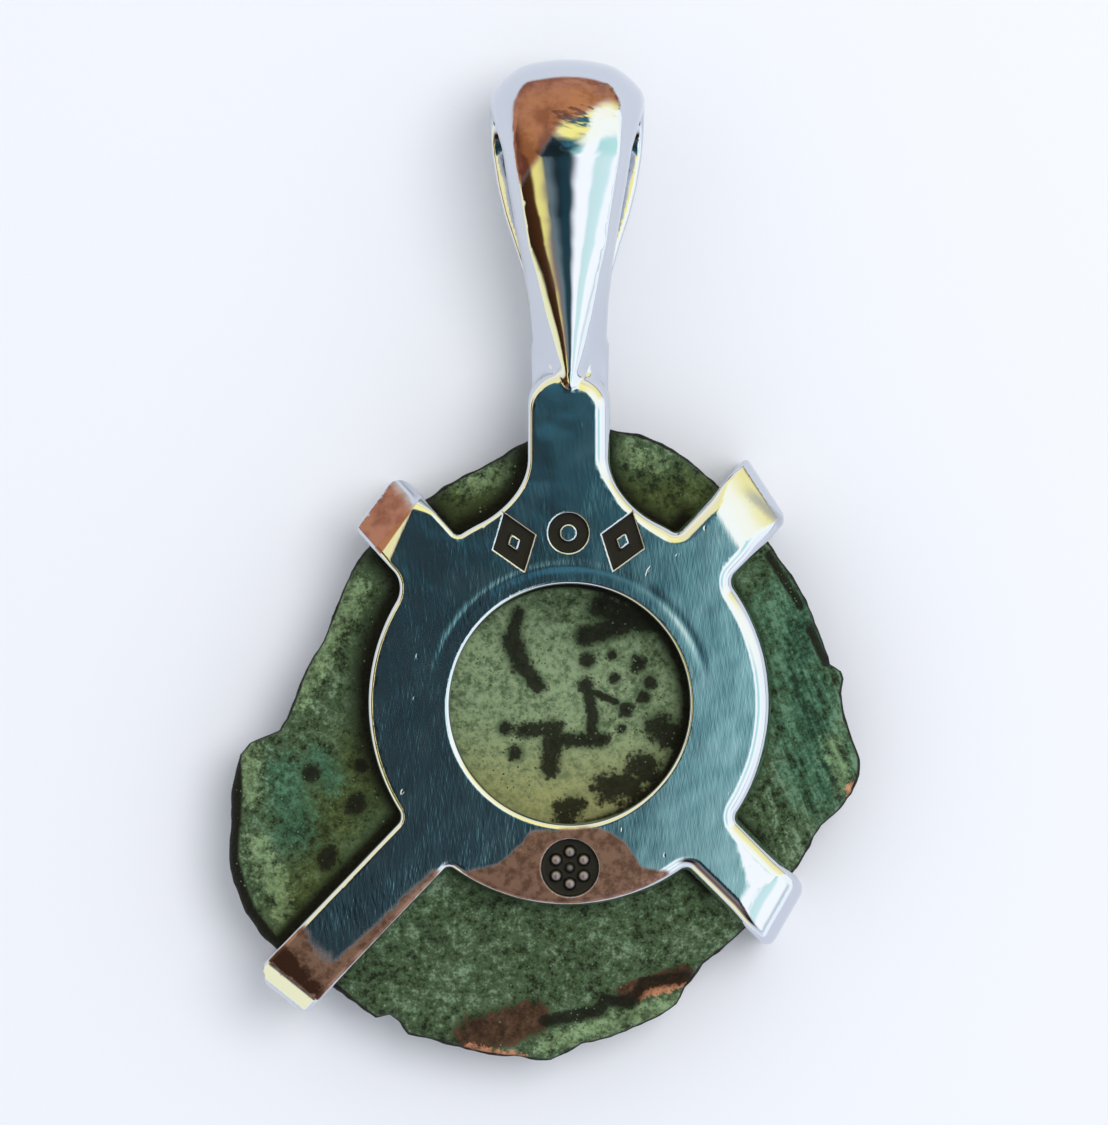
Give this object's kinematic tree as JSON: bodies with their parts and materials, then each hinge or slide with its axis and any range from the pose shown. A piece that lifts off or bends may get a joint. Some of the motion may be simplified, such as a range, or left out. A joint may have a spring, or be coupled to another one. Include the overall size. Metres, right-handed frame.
{
  "type": "coin pendant",
  "caption": "Worn bronze coin with a ragged outline, held by a silver back ring whose bent arms grip its edge, with a fixed tapered loop bail.",
  "frame": {"origin": "middle of the footprint, on the surface that the pendant lies on, face down", "axes": "+Z out of the pendant's back, +Y from the coin towards the bail, +X to the right as the back is seen with the bail up; the chain passes through the bail along X"},
  "size_m": [0.016, 0.0252, 0.0046],
  "materials": {
    "silver": "polished sterling silver",
    "bronze": "worn bronze with a green patina"
  },
  "bodies": {
    "root": {"setting": "silver", "coin": "bronze"}
  },
  "joints": []
}
